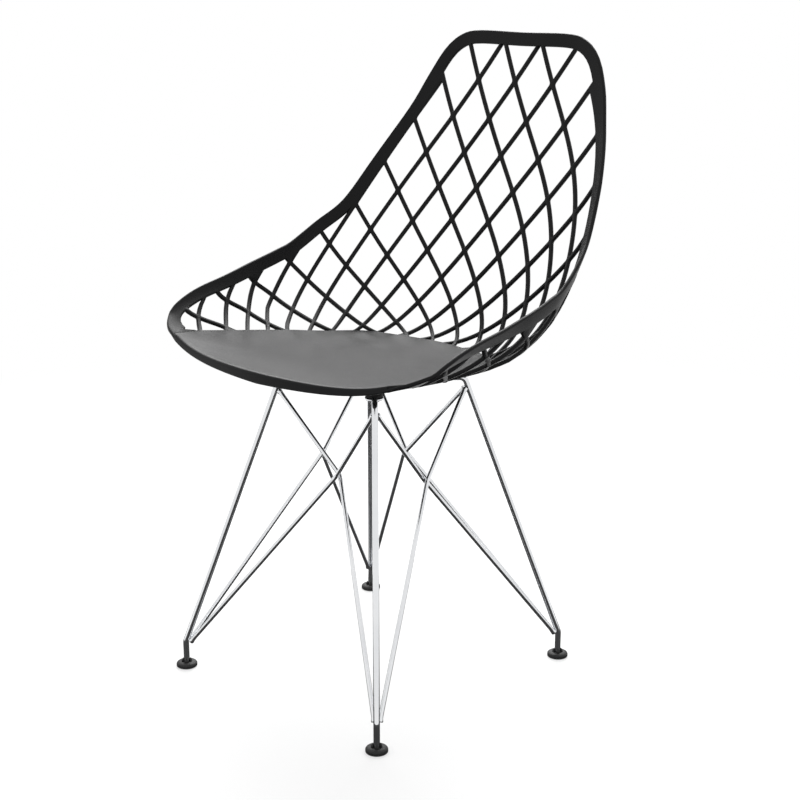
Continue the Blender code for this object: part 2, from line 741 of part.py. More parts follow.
def main():
    clear_scene()
    parts = new_collection("eiffel_dining_chair")
    cutters = new_collection("cutters")
    looks = {
        "plastic": new_material("black_plastic", (0.02, 0.02, 0.022), 0.42),
        "chrome": new_material("chrome_wire", (0.78, 0.79, 0.80), 0.12, 1.0),
        "glide": new_material("glide_plastic", (0.025, 0.025, 0.027), 0.5),
        "rubber": new_material("black_rubber", (0.03, 0.03, 0.03), 0.8),
        "steel": new_material("zinc_steel", (0.6, 0.6, 0.6), 0.35, 1.0),
        "screw": new_material("black_steel", (0.05, 0.05, 0.05), 0.4, 1.0),
        "brass": new_material("brass", (0.72, 0.55, 0.26), 0.3, 1.0),
    }
    root = bpy.data.objects.new("chair_root", None)
    parts.objects.link(root)
    shell = build_shell(looks["plastic"], root, cutters)
    for name, sign in CORNERS.items():
        build_leg(name, sign, looks["chrome"], root)
        build_glide(name, sign, looks["glide"], root, cutters)
        build_mount(name, sign, looks, root, cutters)
    for side in SIDES:
        build_braces(side, looks["chrome"], root)
    centre_on_floor(root, shell)


main()
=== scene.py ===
"""Looks of the lattice-shell dining chair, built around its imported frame.

Metres, +Z up. The chair faces -Y, so the sitter's left is +X.
"""

import json
import math

import bmesh
import bpy
import numpy as np
from mathutils import Matrix, Vector
from mathutils.bvhtree import BVHTree
from mathutils.geometry import delaunay_2d_cdt

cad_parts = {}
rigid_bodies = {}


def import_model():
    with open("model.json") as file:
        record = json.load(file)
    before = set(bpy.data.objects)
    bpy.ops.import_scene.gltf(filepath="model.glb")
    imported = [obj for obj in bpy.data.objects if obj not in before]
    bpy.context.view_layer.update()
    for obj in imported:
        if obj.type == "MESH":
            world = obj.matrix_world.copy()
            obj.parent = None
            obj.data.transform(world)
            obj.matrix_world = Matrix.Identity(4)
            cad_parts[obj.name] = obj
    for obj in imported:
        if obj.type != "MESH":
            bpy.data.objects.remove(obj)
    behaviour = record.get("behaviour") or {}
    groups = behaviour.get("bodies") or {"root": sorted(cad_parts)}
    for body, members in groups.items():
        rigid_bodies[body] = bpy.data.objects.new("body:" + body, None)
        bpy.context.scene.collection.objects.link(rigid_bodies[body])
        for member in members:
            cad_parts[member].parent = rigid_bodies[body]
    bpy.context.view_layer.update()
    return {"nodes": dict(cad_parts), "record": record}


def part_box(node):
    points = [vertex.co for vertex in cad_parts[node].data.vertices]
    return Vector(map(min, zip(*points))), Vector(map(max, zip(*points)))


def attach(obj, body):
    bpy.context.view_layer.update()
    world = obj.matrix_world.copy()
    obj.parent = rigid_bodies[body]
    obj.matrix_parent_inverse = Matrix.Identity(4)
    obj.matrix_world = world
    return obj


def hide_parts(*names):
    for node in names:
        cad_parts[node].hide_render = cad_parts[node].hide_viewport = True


for item in list(bpy.data.objects):
    bpy.data.objects.remove(item, do_unlink=True)
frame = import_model()

CORNERS = {
    "front_right": (-1, -1),
    "front_left": (1, -1),
    "back_left": (1, 1),
    "back_right": (-1, 1),
}
SIDES = {
    "front": ("front_right", "front_left"),
    "left": ("front_left", "back_left"),
    "back": ("back_left", "back_right"),
    "right": ("back_right", "front_right"),
}

# Shell wall, as in the part's source
BACK_REACH = 0.3024
BACK_HEIGHT = 0.4147
WALL_HALF_WIDTH = 0.2832
RIB_PITCH = 0.0635
# Hoops of the wall: row, shares of the four sizes above, squareness, and fall towards the front
HOOPS = (
    (1.50, 1.0000, 1.0000, 1.0000, 1.0000, 7.28, 0.540),
    (0.00, 0.8549, 0.6311, 0.8121, 1.0166, 3.61, 0.544),
    (-1.25, 0.7520, 0.3673, 0.8177, 0.9698, 2.30, 0.457),
    (-2.50, 0.6277, 0.1508, 0.5801, 0.8260, 2.30, 0.247),
    (-3.75, 0.4265, 0.0530, 0.5827, 0.6061, 1.80, 0.015),
)
HOOP_FALL_RADIUS = 2.066
HOOP_SIDE_START = 0.0156
HOOP_SIDE_LENGTH = 0.25
SIDE_TAPER = 0.372
SIDE_TAPER_ROW = -1.02
SIDE_TAPER_BLEND = 0.26
# The ribs of the arms spread towards the front: how far, and the ribs and rows it starts at
# and grows over
ARM_SPREAD = 0.010
ARM_SPREAD_RIB = 4.0
ARM_SPREAD_RIBS = 2.5
ARM_SPREAD_ROW = -1.5
ARM_SPREAD_ROWS = 0.7
# Where the seat meets the wall, from the back's middle to the front: ribs across and rows up
SEAT_EDGE = ((0, -3.74), (1.8, -3.66), (3.2, -3.3), (4.3, -2.95), (6, -2.25), (8.395, -1.22))
# Where the rim meets the wall, from the front to the back's middle, with its lean in degrees
RIM_ROOT = (
    (8.55, -1.06, -23), (8.485, -0.86, -23), (8.23, -0.74, -23), (7.655, -0.69, -24),
    (6.785, -0.755, -20), (5.815, -0.83, -11), (5.3, -0.86, -6), (4.875, -0.86, -7),
    (4.255, -0.71, -9), (3.6, -0.53, -9), (3.02, -0.03, -7), (2.44, 0.535, 2), (2.14, 0.95, 7),
    (1.87, 1.25, 10), (1.56, 1.4, 11), (1.14, 1.445, 8), (0, 1.44, 4),
)
# Piece of a rib that the rim stands in for at the top corners: its count in its own family and
# in the other
RIB_LEFT_OUT = (3, -1)
SHELL_THICKNESS = 0.005
RIB_WIDTH = 0.006
RIM_WIDTH = 0.017
SEAT_FRONT_Y = -0.199
SEAT_FRONT_HEIGHT = 0.0431
SEAT_FRONT_BEND = 1.82
SEAT_FRONT_RISE = 4.5
# Seat's front corner, measured from the front end of the lattice
CORNER_INSET = 0.008
CORNER_REACH = 0.0445
CORNER_RISE = 0.0048
# Lip that is turned down along the front
LIP_DROP = 0.0111
LIP_CORNER_DROP = 0.0056
LIP_FLARE = 0.0015
# Where the rim folds into the lip, past the seat's corner: its length in places of the
# outline, the share of it that the corner keeps, and how far its free edge swells out
FOLD_LENGTH = 2.2
FOLD_SHARE = 0.35
FOLD_SWELL = 0.005
SEAT_DISH = 0.008
SEAT_CENTRE_Y = -0.02
SEAT_CURL = 3.0

# How finely the shell is drawn, and how its edges are rounded
EDGE_SPACING = 0.12
EDGE_LEAST_STEPS = 3
EDGE_TOLERANCE = 1e-4
EDGE_BULGE = 0.0014
EDGE_ARC_STEPS = 5
MITRE_LIMIT = 1.5
CELL_STEPS = 5
CELL_FILLET = 0.06
FILLET_STEPS = 3
# Openings whose middle lies farther than this outside the rim aren't looked at, and those with
# less than this share of their edge inside the rim are left filled
EDGE_REACH = 1.0
LEAST_OPENING = 0.2
BAND_SHARES = (0.08, 0.25, 0.5, 0.75, 0.92, 1.0)
SEAT_RINGS = (0.985, 0.965, 0.93, 0.87, 0.78, 0.67, 0.55, 0.42, 0.28, 0.14)
FRONT_STEPS = 40
HOOP_SAMPLES = 300
SIDE_SAMPLES = 40
SLOPE_STEP = 0.02

# Wire base, as in the part's source
FOOT_X = 0.1765
FOOT_Y = 0.1815
KINK_HEIGHT = 0.036
BEND_X = 0.085
BEND_Y = 0.085
BEND_HEIGHT = 0.3995
LEG_DIAMETER = 0.008
KINK_RADIUS = 0.012
BEND_RADIUS = 0.009
BRACE_DIAMETER = 0.006
BRACE_BEND_RADIUS = 0.015
BRACE_FOOT_HEIGHT = 0.0395
BRACE_TOP_DROP = 0.013
CROSSING_HEIGHT = 0.2825
FRONT_CROSSING_Y = 0.0645
SIDE_CROSSING_X = 0.093
GAP = 0.0003
MOUNT_X = 0.066
MOUNT_Y = 0.066
PLATE_RADIUS = 0.012
PLATE_THICKNESS = 0.003
PAD_THICKNESS = 0.0057
SCREW_RADIUS = 0.003
INSERT_WALL = 0.0009
INSERT_LENGTH = 0.0065
BOSS_WALL = 0.0065
# Flare of a boss below the seat: how far it stands out, and how far down
BOSS_FLARE = ((0.0045, 0.0), (0.0022, 0.0032), (0.0008, 0.0050), (0.0, 0.0075))
WASHER_RADIUS = 0.0072
WASHER_THICKNESS = 0.0012
GLIDE_RADIUS = 0.014
GLIDE_FLOOR = 0.003
GLIDE_CHAMFER = 0.0015
GLIDE_EDGE_HEIGHT = 0.0035
GLIDE_DOME_HEIGHT = 0.007
PRONG_WALL = 0.003
PRONG_LENGTH = 0.0045
# Prong from its root to its tip: height, half its spread round the stem, and share of its wall
PRONG_LEVELS = (
    (-0.0010, 0.52, 1.0),
    (0.0012, 0.46, 0.92),
    (PRONG_LENGTH * 0.7, 0.30, 0.55),
    (PRONG_LENGTH, 0.14, 0.25),
)
PRONG_SIDES = (-1, -0.5, 0, 0.5, 1)
PLATE_TOP = BEND_HEIGHT + PLATE_THICKNESS / 2
BOSS_BOTTOM = GAP + PAD_THICKNESS + GAP
INSERT_TOP = BOSS_BOTTOM + GAP + INSERT_LENGTH
HOLE_RADIUS = SCREW_RADIUS + GAP
INSERT_RADIUS = HOLE_RADIUS + INSERT_WALL
BOSS_RADIUS = INSERT_RADIUS + GAP + BOSS_WALL

# Roundness of the base's pieces
BEND_STEPS = 12
WIRE_RESOLUTION = 6
ROUND_STEPS = 48
DOME_STEPS = 10
EDGE_ROUND = 0.0005
# Most of a profile's edge that the chamfer at one of its ends takes
CHAMFER_SHARE = 0.45
# Weld at a brace's ends: distance from the end, and size against the wire
WELD = ((0.0, 1.28), (0.0012, 1.34), (0.0028, 1.22), (0.0050, 1.06), (0.0080, 1.0))
WELD_DEPTH = 0.0012

# Middle of the base, front to back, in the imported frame
BASE_Y = (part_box("glide_front_left")[0].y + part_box("glide_back_left")[1].y) / 2


# Materials

# Part of a noise's range that is used, and the scale and detail of clouds and grain
NOISE_SPAN = (0.3, 0.7)
CLOUD_SCALE = 14.0
CLOUD_DETAIL = 4.0
GRAIN_DETAIL = 3.0


def node_material(name):
    """New node material, with its shader, its node list and its links."""
    surface = bpy.data.materials.new(name)
    surface.use_nodes = True
    tree = surface.node_tree
    return surface, tree.nodes["Principled BSDF"], tree.nodes, tree.links


def noise_node(nodes, links, scale, detail):
    """Noise in the object's own metres."""
    place = nodes.new("ShaderNodeTexCoord")
    noise = nodes.new("ShaderNodeTexNoise")
    noise.inputs["Scale"].default_value = scale
    noise.inputs["Detail"].default_value = detail
    links.new(place.outputs["Object"], noise.inputs["Vector"])
    return noise


def ramp_node(nodes, links, source, low, high):
    """Colour that changes with a noise."""
    ramp = nodes.new("ShaderNodeValToRGB")
    for element, position, colour in zip(ramp.color_ramp.elements, NOISE_SPAN, (low, high)):
        element.position = position
        element.color = (*colour, 1.0)
    links.new(source.outputs["Fac"], ramp.inputs["Fac"])
    return ramp


def range_node(nodes, links, source, low, high):
    """Number that changes with a noise."""
    spread = nodes.new("ShaderNodeMapRange")
    spread.inputs["From Min"].default_value, spread.inputs["From Max"].default_value = NOISE_SPAN
    spread.inputs["To Min"].default_value = low
    spread.inputs["To Max"].default_value = high
    links.new(source.outputs["Fac"], spread.inputs["Value"])
    return spread


def bump_node(nodes, links, source, strength, distance):
    bump = nodes.new("ShaderNodeBump")
    bump.inputs["Strength"].default_value = strength
    bump.inputs["Distance"].default_value = distance
    links.new(source.outputs["Fac"], bump.inputs["Height"])
    return bump


def worn_material(name, tones, roughness, grain, metallic=0.0, specular=0.5):
    """Surface with a cloudy tone, and with a fine grain in its gloss and its relief.

    Tones are its two colours, roughness its two limits, and grain the scale, strength and
    depth of the bump.
    """
    surface, shader, nodes, links = node_material(name)
    scale, strength, depth = grain
    cloud = noise_node(nodes, links, CLOUD_SCALE, CLOUD_DETAIL)
    fine = noise_node(nodes, links, scale, GRAIN_DETAIL)
    tone = ramp_node(nodes, links, cloud, *tones)
    gloss = range_node(nodes, links, fine, *roughness)
    bump = bump_node(nodes, links, fine, strength, depth)
    links.new(tone.outputs["Color"], shader.inputs["Base Color"])
    links.new(gloss.outputs["Result"], shader.inputs["Roughness"])
    links.new(bump.outputs["Normal"], shader.inputs["Normal"])
    shader.inputs["Metallic"].default_value = metallic
    shader.inputs["Specular IOR Level"].default_value = specular
    return surface


LOOKS = {
    "black_plastic": worn_material(
        "satin_black_plastic", ((0.0042, 0.0042, 0.0045), (0.0062, 0.0062, 0.0066)), (0.36, 0.44),
        (900.0, 0.10, 0.0002), specular=0.14),
    "chrome_wire": worn_material(
        "bright_chrome", ((0.72, 0.73, 0.75), (0.80, 0.81, 0.82)), (0.07, 0.13),
        (260.0, 0.04, 0.0001), metallic=1.0),
    "glide_plastic": worn_material(
        "matt_black_glide", ((0.012, 0.012, 0.012), (0.018, 0.018, 0.018)), (0.48, 0.60),
        (700.0, 0.15, 0.0002), specular=0.3),
    "black_rubber": worn_material(
        "black_rubber", ((0.012, 0.012, 0.012), (0.022, 0.022, 0.022)), (0.7, 0.85),
        (500.0, 0.25, 0.0003), specular=0.2),
    "zinc_steel": worn_material(
        "zinc_plated_steel", ((0.50, 0.51, 0.52), (0.64, 0.64, 0.63)), (0.25, 0.42),
        (600.0, 0.10, 0.0001), metallic=1.0),
    "black_steel": worn_material(
        "blackened_steel", ((0.03, 0.03, 0.03), (0.06, 0.06, 0.06)), (0.35, 0.5),
        (600.0, 0.10, 0.0001), metallic=1.0),
    "brass": worn_material(
        "turned_brass", ((0.62, 0.45, 0.18), (0.74, 0.57, 0.28)), (0.25, 0.38),
        (500.0, 0.08, 0.0001), metallic=1.0),
}


# Placing pieces

def add_piece(name, data, slot, body, nodes):
    """Put a piece in the scene in place of CAD nodes, with its finish and its body."""
    piece = bpy.data.objects.new(name, data)
    bpy.context.scene.collection.objects.link(piece)
    data.materials.clear()
    data.materials.append(LOOKS[slot])
    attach(piece, body)
    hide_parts(*nodes)
    return piece


def smooth_mesh(name, shape):
    """Mesh of a bmesh, smooth shaded, with outward faces."""
    bmesh.ops.recalc_face_normals(shape, faces=shape.faces)
    for face in shape.faces:
        face.smooth = True
    mesh = bpy.data.meshes.new(name)
    shape.to_mesh(mesh)
    shape.free()
    return mesh


def lathe(shape, profile, place, steps=ROUND_STEPS, closed=False):
    """Turn a profile of radius and height pairs about an upright axis."""
    rings = []
    for radius, height in profile:
        if radius == 0:
            rings.append([shape.verts.new(place + Vector((0, 0, height)))] * steps)
            continue
        ring = []
        for step in range(steps):
            turn = 2 * math.pi * step / steps
            spoke = Vector((radius * math.cos(turn), radius * math.sin(turn), height))
            ring.append(shape.verts.new(place + spoke))
        rings.append(ring)
    pairs = list(zip(rings, rings[1:]))
    if closed:
        pairs.append((rings[-1], rings[0]))
    for upper, lower in pairs:
        for step in range(steps):
            after = (step + 1) % steps
            corners = dict.fromkeys((upper[step], upper[after], lower[after], lower[step]))
            if len(corners) > 2:
                shape.faces.new(list(corners))


def round_corners(profile, radius=EDGE_ROUND):
    """Closed profile with a small chamfer at every corner."""
    rounded = []
    befores = profile[-1:] + profile[:-1]
    afters = profile[1:] + profile[:1]
    for before, corner, after in zip(befores, profile, afters):
        for other in (before, after):
            run = math.dist(corner, other)
            share = min(radius / run, CHAMFER_SHARE)
            rounded.append(tuple(c + (o - c) * share for c, o in zip(corner, other)))
    return rounded


def ring_profile(outer, inner, top, bottom):
    return round_corners([(outer, top), (outer, bottom), (inner, bottom), (inner, top)])


# Lattice surface

def hoop_curves():
    """How each measure of the hoops changes from row to row."""
    rows, *shares, squareness, fall = (np.array(column) for column in zip(*HOOPS))
    sizes = (BACK_REACH, BACK_HEIGHT, WALL_HALF_WIDTH, RIB_PITCH)
    measures = [share * size for share, size in zip(shares, sizes)] + [squareness, fall]
    return [np.polyfit(rows, values, len(rows) - 1) for values in measures]


HOOP_CURVES = hoop_curves()
HOOP_TURN = np.linspace(0, math.pi / 2, HOOP_SAMPLES)
HOOP_STRAIGHT = np.linspace(0, HOOP_SIDE_LENGTH, SIDE_SAMPLES)[1:]


def running_length(points):
    steps = np.linalg.norm(np.diff(points, axis=0), axis=1)
    return np.concatenate([[0.0], np.cumsum(steps)])


def hoop(row):
    """Points along one hoop from the back's middle to the front, and its rib pitch."""
    back, height, half_width, pitch, squareness, fall = (np.polyval(c, row) for c in HOOP_CURVES)
    taper = SIDE_TAPER / (1 + math.exp((row - SIDE_TAPER_ROW) / SIDE_TAPER_BLEND))
    rounded = half_width * np.sin(HOOP_TURN) ** (2 / squareness)
    x = np.concatenate([rounded, half_width - taper * HOOP_STRAIGHT])
    rounded = (back - HOOP_SIDE_START) * np.abs(np.cos(HOOP_TURN)) ** (2 / squareness)
    y = HOOP_SIDE_START + np.concatenate([rounded, -HOOP_STRAIGHT])
    forward = back - y
    z = height - fall * forward + forward ** 2 / HOOP_FALL_RADIUS
    return np.stack([x, y, z], axis=1), pitch


def ease(share):
    share = min(max(share, 0.0), 1.0)
    return share * share * (3 - 2 * share)


def wall(across, row):
    """Point of the wall at a number of ribs across and of rows up."""
    points, pitch = hoop(row)
    run = running_length(points)
    ribs = abs(across)
    forward = ease((ribs - ARM_SPREAD_RIB) / ARM_SPREAD_RIBS)
    upward = ease((row - ARM_SPREAD_ROW) / ARM_SPREAD_ROWS)
    place = ribs * pitch + ARM_SPREAD * forward * upward
    x, y, z = (float(np.interp(place, run, points[:, axis])) for axis in range(3))
    return Vector((math.copysign(x, across), y, z))


def wall_slopes(across, row):
    """How the wall runs for each rib across and for each row up."""
    over = wall(across + SLOPE_STEP, row) - wall(across - SLOPE_STEP, row)
    up = wall(across, row + SLOPE_STEP) - wall(across, row - SLOPE_STEP)
    return over / (2 * SLOPE_STEP), up / (2 * SLOPE_STEP)


def lattice_place(first, second):
    """Ribs across and rows up, from the counts along the two families of ribs."""
    return (first - second) / 2, (first + second) / 2


def rib_insets(across, row):
    """Half a rib's flat, counted along the first and the second family of ribs."""
    over, up = wall_slopes(across, min(max(row, HOOPS[-2][0]), HOOPS[0][0]))
    first = (up + over) / 2
    second = (up - over) / 2
    half_rib = (RIB_WIDTH / 2 - EDGE_BULGE) / first.cross(second).length
    return half_rib * second.length, half_rib * first.length


def opening_loop(first, second):
    """Round-cornered opening between ribs, counted along the two families.

    Its corners are square where a rib is left out, so that it runs on into the next opening.
    """
    corners = []
    fillets = []
    for u, v in ((0, 0), (1, 0), (1, 1), (0, 1)):
        inset = list(rib_insets(*lattice_place(first + u, second + v)))
        if (first + u, second) == RIB_LEFT_OUT:
            inset[0] = 0
        if (second + v, first) == RIB_LEFT_OUT:
            inset[1] = 0
        corners.append((first + u + (1 - 2 * u) * inset[0], second + v + (1 - 2 * v) * inset[1]))
        fillets.append(0 if 0 in inset else CELL_FILLET)
    corners = np.array(corners)
    loop = []
    for k, corner in enumerate(corners):
        following = (k + 1) % len(corners)
        after = corners[following]
        start = corner + (corners[k - 1] - corner) * fillets[k]
        end = corner + (after - corner) * fillets[k]
        for step in range(FILLET_STEPS + 1):
            share = step / FILLET_STEPS
            rest = 1 - share
            loop.append(start * rest ** 2 + 2 * corner * share * rest + end * share ** 2)
        stop = after + (corner - after) * fillets[following]
        loop += [end + (stop - end) * step / CELL_STEPS for step in range(1, CELL_STEPS)]
    return np.array(loop)


def outline_terms(points, index):
    """Terms of the smooth curve from one point of a closed outline to the next."""
    before, start, end, after = (np.array(points[(index + k) % len(points)]) for k in (-1, 0, 1, 2))
    bend = 2 * before - 5 * start + 4 * end - after
    twist = 3 * (start - end) - before + after
    return start, (end - before) / 2, bend / 2, twist / 2


def outline_point(points, station):
    start, lean, bend, twist = outline_terms(points, int(station))
    share = station % 1
    return start + (lean + (bend + twist * share) * share) * share


def smooth_outline(points):
    """Closed curve through points, as samples with the station of each, counted in points."""
    stations = []
    for index in range(len(points)):
        start, lean, bend, twist = outline_terms(points, index)
        length = np.linalg.norm(lean + bend + twist)
        steps = max(EDGE_LEAST_STEPS, round(length / EDGE_SPACING))
        stations += [index + step / steps for step in range(steps)]
    return np.array([outline_point(points, station) for station in stations]), np.array(stations)


def outline_slope(points, station):
    _, lean, bend, twist = outline_terms(points, int(station))
    share = station % 1
    return lean + (2 * bend + 3 * twist * share) * share


def is_inside(point, outline):
    """Whether a point lies in a closed outline: an odd number of edges pass above it."""
    ahead = np.roll(outline, -1, axis=0)
    spans = (outline[:, 0] > point[0]) != (ahead[:, 0] > point[0])
    start = outline[spans]
    slope = (ahead[spans, 1] - start[:, 1]) / (ahead[spans, 0] - start[:, 0])
    return np.sum(start[:, 1] + slope * (point[0] - start[:, 0]) > point[1]) % 2 == 1


def station_on_outline(point, outline, stations):
    """Station of a point that lies on the outline, or None."""
    ahead = np.roll(outline, -1, axis=0) - outline
    share = np.sum((point - outline) * ahead, axis=1) / np.sum(ahead ** 2, axis=1)
    share = np.clip(share, 0, 1)
    distance = np.linalg.norm(outline + ahead * share[:, None] - point, axis=1)
    nearest = int(np.argmin(distance))
    if distance[nearest] > EDGE_TOLERANCE:
        return None
    following = stations[nearest + 1] if nearest + 1 < len(stations) else math.ceil(stations[-1])
    return stations[nearest] + share[nearest] * (following - stations[nearest])


def closed_loop(points, all_points, all_edges):
    start = len(all_points)
    all_points.extend(Vector(point) for point in points)
    all_edges.extend((start + k, start + (k + 1) % len(points)) for k in range(len(points)))


def lattice_sheet(outline):
    """Flat sheet of ribs, in ribs across and rows up: its points and triangles."""
    points = []
    edges = []
    closed_loop(outline, points, edges)
    openings = {}
    counts = outline @ np.array(((1, -1), (1, 1)))
    reach = range(math.floor(counts.min()), math.ceil(counts.max()))
    for first in reach:
        for second in reach:
            middle = lattice_place(first + 0.5, second + 0.5)
            from_edge = np.min(np.linalg.norm(outline - middle, axis=1))
            if from_edge > EDGE_REACH and not is_inside(middle, outline):
                continue
            loop = opening_loop(first, second)
            spots = [lattice_place(*place) for place in loop]
            if np.mean([is_inside(spot, outline) for spot in spots]) < LEAST_OPENING:
                continue
            openings[first, second] = loop
            closed_loop(spots, points, edges)
    flat, _, triangles, *_ = delaunay_2d_cdt(points, edges, [], 0, EDGE_TOLERANCE)
    kept = []
    for triangle in triangles:
        middle = sum((flat[k] for k in triangle), Vector((0, 0))) / 3
        place = np.array((middle.y + middle.x, middle.y - middle.x))
        loop = openings.get(tuple(int(c) for c in np.floor(place)))
        in_opening = loop is not None and is_inside(place, loop)
        if is_inside(middle, outline) and not in_opening:
            kept.append(triangle)
    return flat, kept


# Shell

def rim_points(points, station):
    """Points from the lattice's edge to the free edge of the rim, with the rim's lean."""
    place = outline_point(points, station)
    tangent = outline_slope(points, station)
    over, up = wall_slopes(*place)
    along = over * tangent[0] + up * tangent[1]
    outward = np.array((tangent[1], -tangent[0]))
    skew = (over * outward[0] + up * outward[1]).dot(along) / along.length_squared
    outward = outward - skew * tangent
    places = np.arange(len(RIM_ROOT)) + len(SEAT_EDGE)
    _, _, leans = zip(*RIM_ROOT)
    tilt = math.radians(np.interp(station, places, leans))
    width = RIM_WIDTH - EDGE_BULGE
    stretch = width * math.cos(tilt) / (over * outward[0] + up * outward[1]).length
    rise = over.cross(up).normalized() * width * math.sin(tilt)
    return [wall(*(place + outward * stretch * share)) + rise * share for share in BAND_SHARES]


def front_edge(corner, share):
    """Points of the seat's front edge and of the lip below it, towards one corner of the seat."""
    reach = corner.y - SEAT_FRONT_Y
    y = SEAT_FRONT_Y + reach * share ** SEAT_FRONT_BEND
    z = SEAT_FRONT_HEIGHT + (corner.z - SEAT_FRONT_HEIGHT) * share ** SEAT_FRONT_RISE
    point = Vector((corner.x * share, y, z))
    slope = SEAT_FRONT_BEND * reach / corner.x * share ** (SEAT_FRONT_BEND - 1)
    outward = Vector((slope, -1.0, 0.0)).normalized()
    drop = LIP_DROP + (LIP_CORNER_DROP - LIP_DROP) * share
    return point, point + outward * LIP_FLARE - Vector((0, 0, drop))


def mirrored(point, side):
    return Vector((math.copysign(point.x, side), point.y, point.z))


def lip_points(root, free):
    """Points from the seat's front edge down to the free edge of the lip."""
    end = free + (root - free).normalized() * EDGE_BULGE
    return [root.lerp(end, share) for share in BAND_SHARES]


def bridge(shape, first, second):
    """Faces between two closed loops of the same length."""
    for k in range(len(first)):
        after = (k + 1) % len(first)
        shape.faces.new((first[k], first[after], second[after], second[k]))


def seat_panel(shape, edge):
    """Dished seat inside a closed loop of edge points."""
    rear = max(edge, key=lambda point: point.co.y).co
    depth = rear.y - SEAT_FRONT_Y
    ring = edge
    for scale in SEAT_RINGS:
        inner = []
        for point in edge:
            y = SEAT_CENTRE_Y + (point.co.y - SEAT_CENTRE_Y) * scale
            slope = rear.z + (SEAT_FRONT_HEIGHT - rear.z) * (rear.y - y) / depth
            curl = scale ** SEAT_CURL
            z = point.co.z * curl + (slope - SEAT_DISH) * (1 - curl)
            inner.append(shape.verts.new((point.co.x * scale, y, z)))
        bridge(shape, ring, inner)
        ring = inner
    slope = rear.z + (SEAT_FRONT_HEIGHT - rear.z) * (rear.y - SEAT_CENTRE_Y) / depth
    centre = shape.verts.new((0, SEAT_CENTRE_Y, slope - SEAT_DISH))
    for k in range(len(ring)):
        shape.faces.new((ring[k], ring[(k + 1) % len(ring)], centre))


def shell_surface():
    """Open surface in the middle of the shell's wall."""
    half = SEAT_EDGE + tuple((across, row) for across, row, _ in RIM_ROOT)
    points = half + tuple((-across, row) for across, row in reversed(half[1:-1]))
    outline, stations = smooth_outline(points)
    flat, triangles = lattice_sheet(outline)
    shape = bmesh.new()
    made = {}
    edge = []
    for k, place in enumerate(flat):
        station = station_on_outline(np.array(place), outline, stations)
        if station is not None:
            made[k] = shape.verts.new(wall(*place))
            edge.append((station % len(points), made[k]))
    for triangle in triangles:
        for k in triangle:
            if k not in made:
                made[k] = shape.verts.new(wall(*flat[k]))
        shape.faces.new([made[k] for k in triangle])
    edge.sort(key=lambda item: item[0])

    seat_end = len(SEAT_EDGE) - 1
    seat_right = [vertex for station, vertex in edge if station <= seat_end]
    seat_left = [vertex for station, vertex in edge if station >= len(points) - seat_end]
    band = [item for item in edge if seat_end <= item[0] <= len(points) - seat_end]

    corner = seat_right[-1].co + Vector((-CORNER_INSET, -CORNER_REACH, CORNER_RISE))
    front = []
    front_rows = []
    for step in range(2 * FRONT_STEPS + 1):
        side = 1 - step / FRONT_STEPS
        point, below = (mirrored(place, side) for place in front_edge(corner, abs(side)))
        front.append(shape.verts.new(point))
        front_rows.append(lip_points(point, below))

    rim_start = seat_end + FOLD_LENGTH
    rim_end = rim_points(points, rim_start)[-1]
    lip_end = front_rows[0][-1]
    chord = rim_end - lip_end
    swell = Vector((chord.y, -chord.x, 0)).normalized() * FOLD_SWELL
    rows = []
    for station, vertex in band:
        from_front = min(station, len(points) - station)
        if from_front > rim_start:
            rows.append([mirrored(point, vertex.co.x) for point in rim_points(points, from_front)])
            continue
        share = FOLD_SHARE + (1 - FOLD_SHARE) * (from_front - seat_end) / FOLD_LENGTH
        fold = mirrored(lip_end + chord * share + swell * math.sin(math.pi * share), vertex.co.x)
        rows.append([vertex.co.lerp(fold, reach) for reach in BAND_SHARES])

    ring = [vertex for _, vertex in band] + front[::-1]
    for column in zip(*(rows + front_rows[::-1])):
        following = [shape.verts.new(point) for point in column]
        bridge(shape, ring, following)
        ring = following
    seat_panel(shape, seat_right + front + seat_left)
    loose = [vertex for vertex in shape.verts if not vertex.link_faces]
    bmesh.ops.delete(shape, geom=loose, context="VERTS")
    bmesh.ops.recalc_face_normals(shape, faces=shape.faces)
    return shape


def thicken(sheet, half):
    """Closed body round an open sheet, with rounded edges."""
    sheet.normal_update()
    solid = bmesh.new()
    top = {}
    bottom = {}
    for vertex in sheet.verts:
        top[vertex] = solid.verts.new(vertex.co + vertex.normal * half)
        bottom[vertex] = solid.verts.new(vertex.co - vertex.normal * half)
    for face in sheet.faces:
        solid.faces.new([top[vertex] for vertex in face.verts])
        solid.faces.new([bottom[vertex] for vertex in reversed(face.verts)])
    borders = [edge.link_loops[0] for edge in sheet.edges if edge.is_boundary]
    outward = {}
    for loop in borders:
        start = loop.vert
        end = loop.link_loop_next.vert
        for vertex in (start, end):
            away = (end.co - start.co).cross(vertex.normal).normalized()
            outward.setdefault(vertex, []).append(away)
    arcs = {}
    for vertex, ways in outward.items():
        away = sum(ways, Vector()).normalized()
        mitre = min(1 / max(away.dot(ways[0]), 1 / MITRE_LIMIT), MITRE_LIMIT)
        arc = [top[vertex]]
        for step in range(1, EDGE_ARC_STEPS):
            turn = math.pi * (0.5 - step / EDGE_ARC_STEPS)
            reach = away * EDGE_BULGE * mitre * math.cos(turn)
            arc.append(solid.verts.new(vertex.co + reach + vertex.normal * half * math.sin(turn)))
        arcs[vertex] = arc + [bottom[vertex]]
    for loop in borders:
        start = arcs[loop.vert]
        end = arcs[loop.link_loop_next.vert]
        for step in range(EDGE_ARC_STEPS):
            solid.faces.new((end[step], start[step], start[step + 1], end[step + 1]))
    return solid


